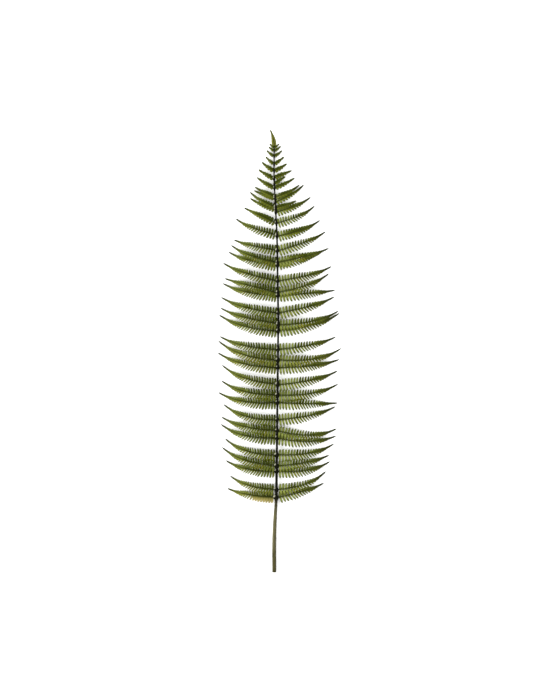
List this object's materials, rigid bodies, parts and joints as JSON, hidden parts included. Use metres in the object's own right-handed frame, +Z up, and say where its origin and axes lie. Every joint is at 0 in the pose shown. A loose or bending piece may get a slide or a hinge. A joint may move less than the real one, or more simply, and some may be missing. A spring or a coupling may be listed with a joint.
{
  "type": "bracken frond",
  "caption": "Cut bracken frond lying on its drooping side leaves: a bare tan stalk runs on as a dark rachis with opposite comb-cut pinnae, widest in the middle and narrowing to a thin tip.",
  "frame": {"origin": "on the surface the frond lies on, under the middle of its box", "axes": "+Y from the cut end of the stalk to the tip, +X to the right of the frond seen from above with the tip up, +Z up from the surface"},
  "size_m": [0.2538, 0.902, 0.0245],
  "materials": {
    "stalk": "satin",
    "leaf": "matt, slightly waxy"
  },
  "bodies": {
    "root": {"stipe": "stalk", "blade": "leaf"}
  },
  "joints": []
}
